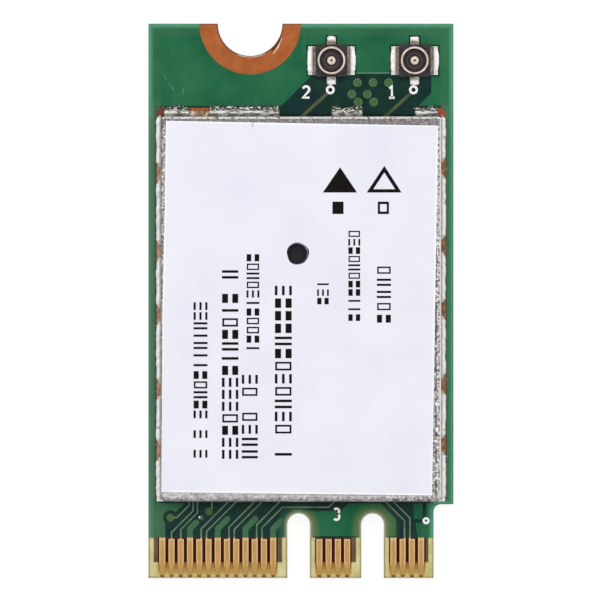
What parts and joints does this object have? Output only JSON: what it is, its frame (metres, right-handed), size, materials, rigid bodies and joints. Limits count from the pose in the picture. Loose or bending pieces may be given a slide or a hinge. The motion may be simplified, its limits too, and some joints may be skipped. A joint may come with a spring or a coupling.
{
  "type": "wireless network card",
  "caption": "Narrow plug-in wireless card: green circuit board with keyed gold edge contacts, a labelled metal shield can, antenna jacks and a half-round screw seat.",
  "frame": {"origin": "on the contacts' centre line, at the leading edge, on the plane of the underside", "axes": "+Y from the contacts to the screw end, +Z out of the component side, +X to the first contact's side"},
  "size_m": [0.0165, 0.03, 0.0021],
  "materials": {
    "glass_epoxy": "pale bare laminate",
    "bare_mask": "dark green coat",
    "coated_copper": "green coat over copper",
    "coated_trace": "green coat over a raised trace",
    "gold_plating": "gold plating",
    "bare_copper": "bare copper",
    "solder": "bright solder",
    "tinned_sheet": "dull tinned sheet",
    "label_film": "matt white film",
    "black_moulding": "black moulding",
    "jack_plating": "pale plated bronze",
    "chip_moulding": "black epoxy",
    "capacitor_ceramic": "tan ceramic",
    "resistor_ceramic": "black glazed top",
    "ferrite": "dark grey ferrite",
    "filter_ceramic": "pale ceramic",
    "crystal_lid": "plated lid"
  },
  "bodies": {
    "root": {"laminate": "glass_epoxy", "solder_mask_top": "bare_mask", "solder_mask_bottom": "coated_copper", "ground_pour_top": "coated_copper", "signal_traces_top": "coated_trace", "tented_vias_top": "coated_trace", "contacts_top": "gold_plating", "contacts_bottom": "gold_plating", "screw_pad": "bare_copper", "shield_pads": "bare_copper", "shield_solder": "solder", "shield_can": "tinned_sheet", "label": "label_film", "jack_pads": "solder", "jack_solder": "solder", "jack_1_base": "black_moulding", "jack_1_shell": "jack_plating", "jack_1_pin": "jack_plating", "jack_2_base": "black_moulding", "jack_2_shell": "jack_plating", "jack_2_pin": "jack_plating", "component_lands": "solder", "radio_chip": "chip_moulding", "chip_leads": "solder", "part_ends": "solder", "capacitors": "capacitor_ceramic", "resistors": "resistor_ceramic", "power_inductors": "ferrite", "diplexers": "filter_ceramic", "reference_crystal": "crystal_lid", "antenna_switch": "chip_moulding", "front_end_module": "chip_moulding"}
  },
  "joints": []
}
